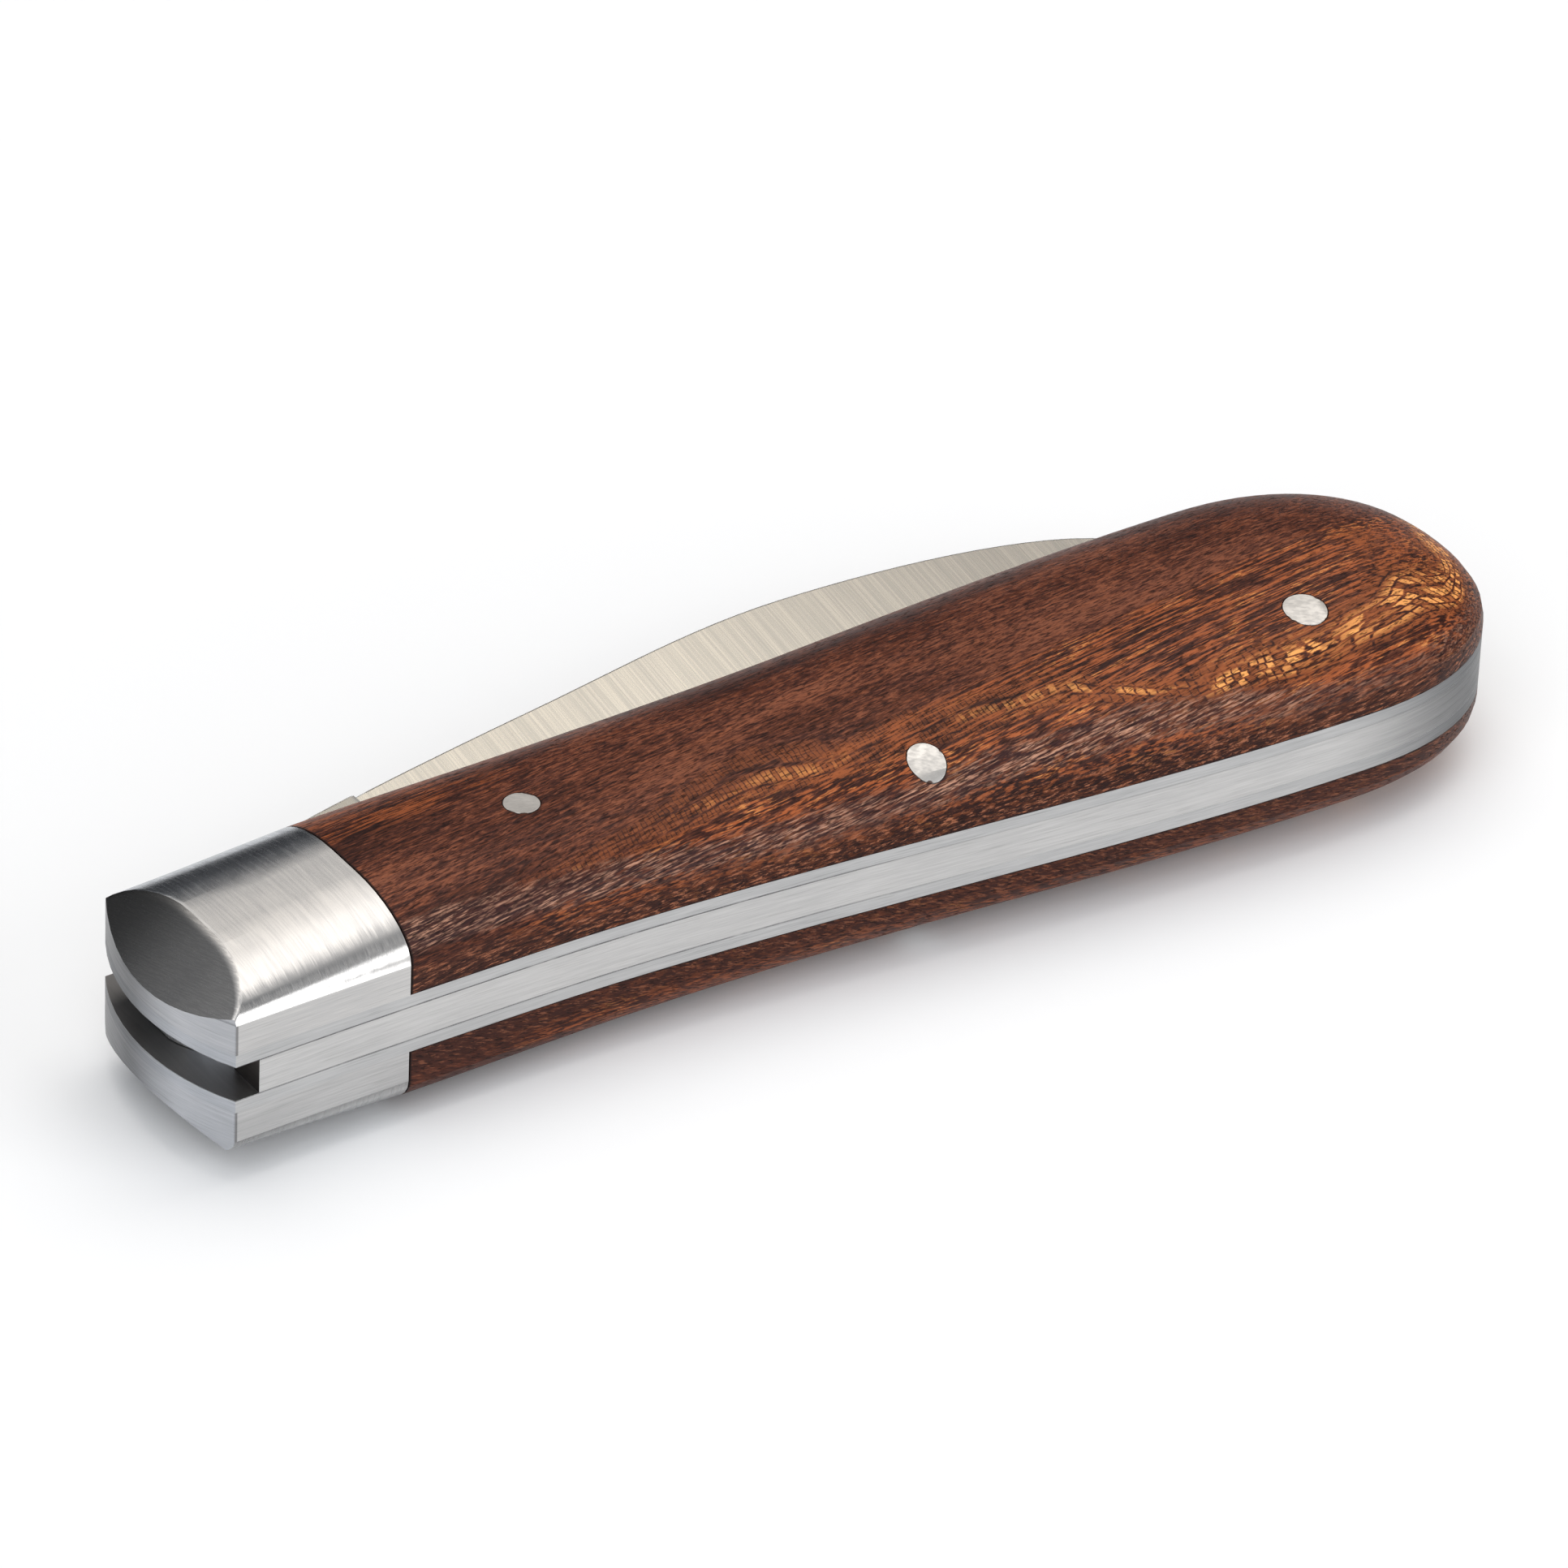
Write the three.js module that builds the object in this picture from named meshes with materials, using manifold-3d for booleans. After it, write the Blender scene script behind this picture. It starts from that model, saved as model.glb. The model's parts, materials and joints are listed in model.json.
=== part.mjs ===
import * as THREE from 'three';
import { mergeVertices } from 'three/addons/utils/BufferGeometryUtils.js';
import Module from 'manifold-3d';

const wasm = await Module();
wasm.setup();

// A slip joint pocket knife, closed and lying on its side. Millimetres throughout.
// X runs from the bolster end to the butt, -Y is the back, +Z is up.
// While it is drawn, X = 0 is the front corner of the bolsters and Z = 0 the blade's mid plane.

// Handle outline, the same for liners, bolsters, scales and the back of the spring
const handleLength = 99.2;
const frontBulge = 2.0;
const frontHalfWidth = 8.0;
const waistHalfWidth = 7.6;
const waistX = 23;
const buttHalfWidth = 11.3;
const bellySwell = 1.8;
const bellySwellLength = 42;
const buttRoundLength = 15.1;
const buttRoundness = 2.3;

// Layers, from the mid plane outwards
const springThickness = 2.5;
const linerThickness = 0.9;
const bladeSideGap = 0.05;
const crestHeight = 7.55;
const crestHeightAtFront = 6.4;

// Crown of bolsters and scales: a straight side, a rounded shoulder and a flat crest
const sideHeightAtFront = 2.2;
const sideHeightAtButt = 0.7;
const sideFallLength = 38;
const crestFlatShare = 0.18;

// Bolsters
const bolsterLength = 12.85;
const bolsterSeam = 0.1;
const facetEdgeHeight = 4.85;
const lowerFacetEdgeHeight = 5.4;
const facetAngle = 37;
const pinBoreDepth = 2.4;
const pinEndGap = 0.2;

// Pivot and tang
const pivotX = 5.85;
const pivotPinRadius = 1.75;
const pinClearance = 0.05;
const tangRadius = 6.1;
const tangFlat = 5.95;
const tangClearance = 0.05;
const shoulderGap = 0.2;
const kickX = 14.2;
const kickRadius = 1.2;
const kickGap = 0.1;

// Blade, with its spine outwards
const spinePeak = new THREE.Vector2(59.2, 21.15);
const spineRise = [new THREE.Vector2(18, 14.0), new THREE.Vector2(38.2, 18.1)];
const spineFall = [new THREE.Vector2(80.7, 18.1)];
const bladeTip = new THREE.Vector2(92.4, 7.2);
const edgeHeelY = -3.2;
const edgeBellyX = 56;
const edgeBellyY = -2.5;
const edgeBellyReach = 20;
const tipReach = 6;
const plungeX = 22.4;
const choilRadius = 0.9;
const edgeThickness = 0.24;
const nickX = 46;
const nickFromSpine = 2.6;
const nickDepth = 0.5;
const nickRadius = 42;
const nickWidth = 1.7;

// Back spring
const springSetback = 1.75;
const springFrontWidth = 3.0;
const springMiddleX = 60;
const springMiddleFace = -3.7;
const springRearX = 82;
const springRearFace = -2.0;
const springEndY = 5.5;
const springEndWidth = 2.2;
const springEndTurn = 6;

// Rivets
const frontRivet = { x: bolsterLength + 13.15, y: 0.5, radius: 1.2 };
const middleRivet = { x: 52.15, y: -6.65, radius: 1.3 };
const rearRivet = { x: 83.1, y: -5.0, radius: 1.5 };

// Fineness of the round shapes
const outlineSteps = 30;
const buttSteps = 18;
const shoulderSteps = 9;
const frontSteps = 12;
const roundSegments = 40;
const nickSegments = 180;
const overcut = 1;

const springHalf = springThickness / 2;
const linerOuter = springHalf + linerThickness;
const bladeHalf = springHalf - bladeSideGap;
const swellX = handleLength - buttRoundLength;

// The tang turns just clear of the spring's inner face
const pivotY = springFace(pivotX) + tangClearance + tangRadius;

const wood = { color: 0x5a2c1a, roughness: 0.5, metalness: 0.0 };
const polishedSteel = { color: 0xc9c6c1, roughness: 0.32, metalness: 1.0 };
const satinSteel = { color: 0xbfc1c0, roughness: 0.4, metalness: 1.0 };
const bladeSteel = { color: 0xd6d0c6, roughness: 0.36, metalness: 1.0 };

function smoothStep(t) {
  return t * t * (3 - 2 * t);
}

// Distance of the back from the middle line, before the butt's rounding
function backWidth(x) {
  if (x < waistX) {
    const share = (waistX - x) / waistX;
    return waistHalfWidth + (frontHalfWidth - waistHalfWidth) * share * share;
  }
  const share = Math.min((x - waistX) / (swellX - waistX), 1);
  return waistHalfWidth + (buttHalfWidth - waistHalfWidth) * smoothStep(share);
}

// The belly swells out a little more than the back
function bellyWidth(x) {
  const share = Math.min(Math.max(x / bellySwellLength, 0), 1);
  return backWidth(x) + bellySwell * Math.sin(share * Math.PI / 2);
}

function middleLine(x) {
  return (bellyWidth(x) - backWidth(x)) / 2;
}

// A place across the handle, from -1 at the back to 1 at the belly
function sideY(x, share) {
  return middleLine(x) + share * (bellyWidth(x) + backWidth(x)) / 2;
}

// Height of the crest, which falls towards the front of the bolsters
function crestAt(x) {
  const share = Math.min(Math.max(x / bolsterLength, 0), 1);
  return THREE.MathUtils.lerp(crestHeightAtFront, crestHeight, share);
}

// Height of the straight side above the liner
function sideHeight(x) {
  const share = Math.min(Math.max((x - bolsterLength) / sideFallLength, 0), 1);
  return THREE.MathUtils.lerp(sideHeightAtFront, sideHeightAtButt, smoothStep(share));
}

// Points of the belly side (direction 1) or back side (-1), round to the butt when it is reached
function sidePoints(startX, endX, direction) {
  const points = [];
  const lastX = Math.min(endX, swellX);
  for (let i = 0; i <= outlineSteps; i += 1) {
    const x = THREE.MathUtils.lerp(startX, lastX, i / outlineSteps);
    points.push(new THREE.Vector2(x, sideY(x, direction)));
  }
  if (endX > swellX) {
    const power = 2 / buttRoundness;
    for (let i = 1; i < buttSteps; i += 1) {
      const angle = (i / buttSteps) * Math.PI / 2;
      const x = swellX + buttRoundLength * Math.sin(angle) ** power;
      points.push(new THREE.Vector2(x, sideY(swellX, direction * Math.cos(angle) ** power)));
    }
  }
  return points;
}

// The bulging front end, from the back corner to the belly corner
function frontPoints() {
  const radius = (frontHalfWidth ** 2 + frontBulge ** 2) / (2 * frontBulge);
  const reach = Math.asin(frontHalfWidth / radius);
  const points = [];
  for (let i = 1; i < frontSteps; i += 1) {
    const angle = THREE.MathUtils.lerp(-reach, reach, i / frontSteps);
    points.push(new THREE.Vector2(radius - frontBulge - radius * Math.cos(angle), radius * Math.sin(angle)));
  }
  return points;
}

// Points round a length of the handle, from the belly side by the butt to the back side
function roundPoints(startX, endX) {
  const belly = sidePoints(startX, endX, 1);
  const back = sidePoints(startX, endX, -1).reverse();
  const butt = endX > swellX ? [new THREE.Vector2(endX, middleLine(swellX))] : [];
  return [...belly, ...butt, ...back];
}

function handleShape() {
  return new THREE.Shape([...roundPoints(0, handleLength), ...frontPoints()]);
}

function circlePath(centre, radius) {
  const points = [];
  for (let i = 0; i < roundSegments; i += 1) {
    const angle = (i / roundSegments) * Math.PI * 2;
    points.push(new THREE.Vector2(centre.x + radius * Math.cos(angle), centre.y + radius * Math.sin(angle)));
  }
  return new THREE.Path(points);
}

// A flat plate from a shape, between two heights
function plate(shape, bottom, top) {
  const geometry = new THREE.ExtrudeGeometry(shape, {
    depth: top - bottom,
    bevelEnabled: false,
    curveSegments: roundSegments / 2,
  });
  return geometry.translate(0, 0, bottom);
}

function rod(centre, radius, bottom, top) {
  const geometry = new THREE.CylinderGeometry(radius, radius, top - bottom, roundSegments);
  geometry.rotateX(Math.PI / 2);
  return geometry.translate(centre.x, centre.y, (top + bottom) / 2);
}

// A solid that can be cut and joined
function toSolid(geometry) {
  const bare = geometry.clone();
  bare.deleteAttribute('normal');
  bare.deleteAttribute('uv');
  const merged = mergeVertices(bare, 1e-5);
  return new wasm.Manifold(new wasm.Mesh({
    numProp: 3,
    vertProperties: new Float32Array(merged.attributes.position.array),
    triVerts: new Uint32Array(merged.index.array),
  }));
}

// Back to a geometry that the scene can hold
function toGeometry(solid) {
  const mesh = solid.getMesh();
  const geometry = new THREE.BufferGeometry();
  geometry.setAttribute('position', new THREE.BufferAttribute(new Float32Array(mesh.vertProperties), 3));
  geometry.setIndex(new THREE.BufferAttribute(new Uint32Array(mesh.triVerts), 1));
  geometry.computeVertexNormals();
  return geometry;
}

// The same piece on the other side of the mid plane
function mirroredInZ(geometry) {
  const mirrored = geometry.clone().scale(1, 1, -1);
  const index = mirrored.index.array;
  for (let i = 0; i < index.length; i += 3) {
    [index[i + 1], index[i + 2]] = [index[i + 2], index[i + 1]];
  }
  mirrored.computeVertexNormals();
  return mirrored;
}

// One side of a cross section: crest flat, rounded shoulder, straight side, underside
function sectionColumn(edge, underside) {
  const centreX = Math.min(edge.x, swellX);
  const centre = new THREE.Vector2(centreX, middleLine(centreX));
  const sideTop = linerOuter + sideHeight(edge.x);
  const column = [];
  for (let i = 0; i <= shoulderSteps; i += 1) {
    const angle = (i / shoulderSteps) * Math.PI / 2;
    const share = crestFlatShare + (1 - crestFlatShare) * Math.sin(angle);
    const place = centre.clone().lerp(edge, share);
    const height = sideTop + (crestAt(edge.x) - sideTop) * Math.cos(angle);
    column.push(place.x, place.y, height);
  }
  column.push(edge.x, edge.y, underside);
  return column;
}

// A crowned body between two places along the handle, standing on a flat underside
function crownedBody(startX, endX, underside) {
  const edges = roundPoints(startX, endX);
  const positions = edges.flatMap((edge) => sectionColumn(edge, underside));
  const rows = shoulderSteps + 2;
  const count = edges.length;
  const index = [];
  const quad = (a, b, c, d) => {
    if (b !== c) {
      index.push(a, b, c);
    }
    index.push(a, c, d);
  };
  for (let i = 0; i < count; i += 1) {
    const next = (i + 1) % count;
    for (let j = 0; j < rows - 1; j += 1) {
      quad(i * rows + j, next * rows + j, next * rows + j + 1, i * rows + j + 1);
    }
  }
  for (let i = 0; i + 1 < count - 1 - i; i += 1) {
    const top = i * rows;
    const topAcross = (count - 1 - i) * rows;
    const bottom = top + rows - 1;
    const bottomAcross = topAcross + rows - 1;
    quad(topAcross, topAcross - rows, top + rows, top);
    quad(bottom, bottom + rows, bottomAcross - rows, bottomAcross);
  }
  const geometry = new THREE.BufferGeometry();
  geometry.setAttribute('position', new THREE.Float32BufferAttribute(positions, 3));
  geometry.setIndex(index);
  return geometry;
}

function liner() {
  const shape = handleShape();
  shape.holes.push(circlePath({ x: pivotX, y: pivotY }, pivotPinRadius + pinClearance));
  for (const rivet of [frontRivet, middleRivet, rearRivet]) {
    shape.holes.push(circlePath(rivet, rivet.radius + pinClearance));
  }
  return toGeometry(toSolid(plate(shape, springHalf, linerOuter)));
}

// The lower bolster's facet is cut a little less deep than the upper one's
function bolster(edgeHeight) {
  const body = toSolid(crownedBody(-frontBulge - overcut, bolsterLength, linerOuter));
  const outline = toSolid(plate(handleShape(), 0, crestHeight + overcut));
  const facet = new THREE.BoxGeometry(handleLength, handleLength, crestHeight).translate(0, 0, crestHeight / 2);
  facet.rotateY(-THREE.MathUtils.degToRad(facetAngle));
  facet.translate(0, 0, edgeHeight);
  const bore = rod({ x: pivotX, y: pivotY }, pivotPinRadius + pinClearance, 0, linerOuter + pinBoreDepth);
  return toGeometry(body.intersect(outline).subtract(toSolid(facet)).subtract(toSolid(bore)));
}

function scale() {
  let body = toSolid(crownedBody(bolsterLength + bolsterSeam, handleLength, linerOuter));
  for (const rivet of [frontRivet, middleRivet, rearRivet]) {
    body = body.subtract(toSolid(rod(rivet, rivet.radius + pinClearance, 0, crestHeight + overcut)));
  }
  return toGeometry(body);
}

// A rivet's end follows the crown of the scale that it holds
function rivetHalf(rivet, bottom) {
  const crown = toSolid(crownedBody(bolsterLength, handleLength, bottom));
  return toSolid(rod(rivet, rivet.radius, bottom, crestHeight + overcut)).intersect(crown);
}

function shortRivet(rivet) {
  return toGeometry(rivetHalf(rivet, springHalf));
}

function throughRivet(rivet) {
  const upper = rivetHalf(rivet, 0);
  return toGeometry(upper.add(toSolid(mirroredInZ(toGeometry(upper)))));
}

function pivotPin() {
  const reach = linerOuter + pinBoreDepth - pinEndGap;
  return rod({ x: pivotX, y: pivotY }, pivotPinRadius, -reach, reach);
}

// Height of the spring's inner face along the handle
function springFaceAtFront() {
  return -backWidth(springSetback) + springFrontWidth;
}

function springFace(x) {
  const share = (x - springSetback) / (springMiddleX - springSetback);
  return THREE.MathUtils.lerp(springFaceAtFront(), springMiddleFace, share);
}

function backSpring() {
  const outside = roundPoints(springSetback, handleLength).reverse();
  const back = outside.filter((point) => point.y < 0 || (point.x > swellX && point.y < springEndY));
  const shape = new THREE.Shape(back);
  const innerEndX = back[back.length - 1].x - springEndWidth;
  const middleX = (springRearX + springMiddleX) / 2;
  shape.lineTo(innerEndX, springEndY);
  shape.bezierCurveTo(innerEndX, springEndY - springEndTurn, springRearX + springEndTurn, springRearFace,
    springRearX, springRearFace);
  shape.bezierCurveTo(middleX, springRearFace, middleX, springMiddleFace, springMiddleX, springMiddleFace);
  shape.lineTo(springSetback, springFaceAtFront());
  for (const rivet of [middleRivet, rearRivet]) {
    shape.holes.push(circlePath(rivet, rivet.radius + pinClearance));
  }
  return toGeometry(toSolid(plate(shape, -springHalf, springHalf)));
}

// The blade's spine from the shoulder, which meets the spring's end when the knife is open
function spinePoints() {
  const shoulder = new THREE.Vector2(
    2 * pivotX - springSetback + shoulderGap,
    2 * pivotY + backWidth(springSetback),
  );
  const spine = new THREE.SplineCurve([shoulder, ...spineRise, spinePeak, ...spineFall, bladeTip]);
  return spine.getPoints(outlineSteps * 2);
}

function bladeShape() {
  const flatAngle = Math.acos(tangFlat / tangRadius);
  const spine = spinePoints();
  const kickY = springFace(kickX) + kickGap + kickRadius;
  const shape = new THREE.Shape();
  shape.absarc(pivotX, pivotY, tangRadius, -Math.PI / 2, -Math.PI + flatAngle, true);
  shape.absarc(pivotX, pivotY, tangRadius, Math.PI - flatAngle, Math.PI / 2, true);
  shape.lineTo(spine[0].x, pivotY + tangRadius);
  for (const point of spine) {
    shape.lineTo(point.x, point.y);
  }
  shape.bezierCurveTo(bladeTip.x - tipReach, bladeTip.y - tipReach, edgeBellyX + edgeBellyReach, edgeBellyY,
    edgeBellyX, edgeBellyY);
  shape.lineTo(plungeX, edgeHeelY);
  shape.absarc(plungeX - choilRadius, edgeHeelY, choilRadius, 0, Math.PI, false);
  shape.lineTo(kickX + kickRadius, kickY);
  shape.absarc(kickX, kickY, kickRadius, 0, -Math.PI, true);
  return shape;
}

// Half thickness of the ground part of the blade
function groundHeight(y) {
  const slope = (bladeHalf - edgeThickness / 2) / (spinePeak.y - edgeBellyY);
  return edgeThickness / 2 + (y - edgeBellyY) * slope;
}

// One flat grind, from the plunge line to the tip and from the spine down to the edge
function grindCut() {
  const low = edgeHeelY - overcut;
  const high = spinePeak.y + overcut;
  const outline = new THREE.Shape([
    new THREE.Vector2(low, groundHeight(low)),
    new THREE.Vector2(high, groundHeight(high)),
    new THREE.Vector2(high, springThickness),
    new THREE.Vector2(low, springThickness),
  ]);
  const cut = new THREE.ExtrudeGeometry(outline, { depth: handleLength - plungeX, bevelEnabled: false });
  cut.applyMatrix4(new THREE.Matrix4().makeBasis(
    new THREE.Vector3(0, 1, 0),
    new THREE.Vector3(0, 0, 1),
    new THREE.Vector3(1, 0, 0),
  ));
  return cut.translate(plungeX, 0, 0);
}

// The nail nick, a crescent left by a large disc pressed into the lower face
function nickCut() {
  const spine = spinePoints();
  const next = spine.findIndex((point) => point.x > nickX);
  const along = spine[next].clone().sub(spine[next - 1]).angle();
  const y = spine[next].y - nickFromSpine;
  const disc = new THREE.CylinderGeometry(nickRadius, nickRadius - nickDepth, nickWidth, nickSegments);
  disc.rotateZ(along);
  return disc.translate(nickX, y, nickDepth - groundHeight(y) - nickRadius);
}

function blade() {
  const shape = bladeShape();
  shape.holes.push(circlePath({ x: pivotX, y: pivotY }, pivotPinRadius + pinClearance));
  const cut = grindCut();
  const body = toSolid(plate(shape, -bladeHalf, bladeHalf));
  const ground = body.subtract(toSolid(cut)).subtract(toSolid(mirroredInZ(mergeVertices(cut))));
  return toGeometry(ground.subtract(toSolid(nickCut())));
}

function named(name, geometry, look) {
  const mesh = new THREE.Mesh(geometry, new THREE.MeshStandardMaterial(look));
  mesh.name = name;
  return mesh;
}

const upperLiner = liner();
const upperScale = scale();
const upperRivet = shortRivet(frontRivet);

const knife = new THREE.Group();
knife.add(
  named('blade', blade(), bladeSteel),
  named('back_spring', backSpring(), satinSteel),
  named('liner_upper', upperLiner, satinSteel),
  named('liner_lower', mirroredInZ(upperLiner), satinSteel),
  named('bolster_upper', bolster(facetEdgeHeight), polishedSteel),
  named('bolster_lower', mirroredInZ(bolster(lowerFacetEdgeHeight)), polishedSteel),
  named('scale_upper', upperScale, wood),
  named('scale_lower', mirroredInZ(upperScale), wood),
  named('pivot_pin', pivotPin(), satinSteel),
  named('rivet_front_upper', upperRivet, satinSteel),
  named('rivet_front_lower', mirroredInZ(upperRivet), satinSteel),
  named('rivet_middle', throughRivet(middleRivet), satinSteel),
  named('rivet_rear', throughRivet(rearRivet), satinSteel),
);

// The finished knife stands with the middle of its footprint on the origin
const bounds = new THREE.Box3().setFromObject(knife);
knife.position.set(
  -(bounds.min.x + bounds.max.x) / 2,
  -(bounds.min.y + bounds.max.y) / 2,
  -bounds.min.z,
);

export default knife;
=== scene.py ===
import json
import math

import bmesh
import bpy
from mathutils import Matrix, Vector

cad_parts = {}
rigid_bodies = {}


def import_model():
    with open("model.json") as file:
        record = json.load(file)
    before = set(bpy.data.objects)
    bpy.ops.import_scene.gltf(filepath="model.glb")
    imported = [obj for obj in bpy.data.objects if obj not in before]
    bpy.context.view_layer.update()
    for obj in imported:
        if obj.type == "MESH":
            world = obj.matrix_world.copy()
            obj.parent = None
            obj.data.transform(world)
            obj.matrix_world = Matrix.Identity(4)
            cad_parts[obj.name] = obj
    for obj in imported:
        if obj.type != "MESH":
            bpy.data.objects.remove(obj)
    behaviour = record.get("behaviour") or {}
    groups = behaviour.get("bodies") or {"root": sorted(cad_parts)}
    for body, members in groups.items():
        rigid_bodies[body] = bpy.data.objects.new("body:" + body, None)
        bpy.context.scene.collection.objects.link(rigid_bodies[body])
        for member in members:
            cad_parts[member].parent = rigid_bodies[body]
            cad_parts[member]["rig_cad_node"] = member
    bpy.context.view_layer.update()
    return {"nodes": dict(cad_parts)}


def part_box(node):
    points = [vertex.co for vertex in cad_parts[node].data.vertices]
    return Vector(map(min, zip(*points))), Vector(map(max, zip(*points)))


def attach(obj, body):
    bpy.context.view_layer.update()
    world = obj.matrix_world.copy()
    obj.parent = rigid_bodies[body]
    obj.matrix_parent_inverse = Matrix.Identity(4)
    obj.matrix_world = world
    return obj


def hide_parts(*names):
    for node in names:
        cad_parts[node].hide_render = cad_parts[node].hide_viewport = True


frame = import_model()
print("frame loaded:", len(frame["nodes"]), "nodes")
bpy.ops.object.select_all(action="DESELECT")

mm = 0.001
perMm = 1000.0   # pattern scales are written per millimetre

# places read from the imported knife
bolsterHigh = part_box("bolster_upper")[1]
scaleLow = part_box("scale_upper")[0]
springLow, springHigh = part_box("back_spring")
midHeight = (springLow.z + springHigh.z) / 2
springHalf = (springHigh.z - springLow.z) / 2
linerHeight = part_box("liner_upper")[1].z
bolsterWall = 12.85 * mm                 # length of the bolsters' flat sides
cornerX = bolsterHigh.x - bolsterWall    # where these sides begin, at the front


# the photograph's viewpoint

viewpoint = {
    "target": (-12.13 * mm, -18.32 * mm, 20.97 * mm),
    "azimuth": 0.6060,      # radians from the handle's near side towards its front
    "elevation": 0.5759,
    "roll": 0.0456,
    "distance": 666.7 * mm,
    "lens": 244.98, "sensorWidth": 36,   # in millimetres, as lenses are marked
    "clipStart": 0.01, "clipEnd": 20,    # nearest and farthest that it sees, in metres
}


def makeCamera():
    turn = viewpoint["azimuth"]
    rise = viewpoint["elevation"]
    roll = viewpoint["roll"]
    back = Vector((-math.sin(turn) * math.cos(rise), -math.cos(turn) * math.cos(rise), math.sin(rise)))
    level = Vector((math.cos(turn), -math.sin(turn), 0))
    upright = back.cross(level)
    right = math.cos(roll) * level + math.sin(roll) * upright
    up = math.cos(roll) * upright - math.sin(roll) * level
    bpy.ops.object.camera_add(location=Vector(viewpoint["target"]) + viewpoint["distance"] * back)
    camera = bpy.context.active_object
    camera.name = "camera"
    camera.data.lens = viewpoint["lens"]
    camera.data.sensor_width = viewpoint["sensorWidth"]
    camera.data.clip_start = viewpoint["clipStart"]
    camera.data.clip_end = viewpoint["clipEnd"]
    camera.rotation_mode = "QUATERNION"
    camera.rotation_quaternion = Matrix((right, up, back)).transposed().to_quaternion()
    bpy.context.scene.camera = camera


# one small studio: two panels overhead, one low in front, one behind the camera; places in metres

panels = {
    "overheadPanel": {
        "place": (0.75, 0.62, 1.2), "aim": (0.75, 0.62, 0), "size": (2.1, 1.75),
        "level": 0.97, "tint": (1.0, 0.94, 0.87),
    },
    "zenithPanel": {
        "place": (0.45, 0.22, 1.19), "aim": (0.45, 0.22, 0), "size": (1.3, 0.85),
        "level": 0.22, "tint": (1.0, 0.96, 0.92),
    },
    "frontPanel": {
        "place": (0.78, -1.28, 0.54), "aim": (0, 0, 0.01), "size": (1.1, 1.08),
        "level": 2.4, "tint": (1.0, 1.0, 1.0),
    },
    "cameraPanel": {
        "place": (-1.25, -1.1, 1.4), "aim": (0, 0, 0), "size": (2.2, 2.2),
        "level": 1.68, "tint": (0.96, 0.98, 1.0),
    },
}
# the room round it, dark at the horizon and white overhead: place on the ramp, colour
roomTones = (
    (0.3, (0.040, 0.042, 0.046)),
    (0.62, (0.15, 0.155, 0.165)),
    (1.0, (1.0, 1.0, 1.0)),
)


def makePanels():
    for name, panel in panels.items():
        wide, high = panel["size"]
        bpy.ops.object.light_add(type="AREA", location=panel["place"])
        lamp = bpy.context.active_object
        lamp.name = name
        lamp.data.shape = "RECTANGLE"
        lamp.data.size = wide
        lamp.data.size_y = high
        lamp.data.color = panel["tint"]
        lamp.data.energy = panel["level"] * math.pi * wide * high
        away = Vector(panel["place"]) - Vector(panel["aim"])
        lamp.rotation_euler = away.to_track_quat("Z", "Y").to_euler()
        lamp.visible_camera = False


def fillRamp(ramp, stops):
    while len(ramp.elements) < len(stops):
        ramp.elements.new(0.5)
    for element, (position, colour) in zip(ramp.elements, stops):
        element.position = position
        element.color = (*colour, 1)


def makeWorld():
    world = bpy.data.worlds.new("studioGrey")
    world.use_nodes = True
    tree = world.node_tree
    place = tree.nodes.new("ShaderNodeTexCoord")
    parts = tree.nodes.new("ShaderNodeSeparateXYZ")
    ramp = tree.nodes.new("ShaderNodeValToRGB")
    fillRamp(ramp.color_ramp, roomTones)
    tree.links.new(place.outputs["Generated"], parts.inputs[0])
    tree.links.new(parts.outputs["Z"], ramp.inputs[0])
    tree.links.new(ramp.outputs[0], tree.nodes["Background"].inputs["Color"])
    bpy.context.scene.world = world
    bpy.context.scene.view_settings.view_transform = "Standard"


# materials: a wire is one socket, and sums of wires add Math nodes

class Wire:
    def __init__(self, finish, socket):
        self.finish = finish
        self.socket = socket

    def math(self, operation, first, second):
        return self.finish.node("ShaderNodeMath", {"operation": operation}, {0: first, 1: second})

    def __add__(self, other):
        return self.math("ADD", self, other)

    def __radd__(self, other):
        return self.math("ADD", other, self)

    def __sub__(self, other):
        return self.math("SUBTRACT", self, other)

    def __rsub__(self, other):
        return self.math("SUBTRACT", other, self)

    def __mul__(self, other):
        return self.math("MULTIPLY", self, other)

    def __rmul__(self, other):
        return self.math("MULTIPLY", other, self)

    def __pow__(self, other):
        return self.math("POWER", self, other)

    def __abs__(self):
        return self.finish.node("ShaderNodeMath", {"operation": "ABSOLUTE"}, {0: self})


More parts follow.
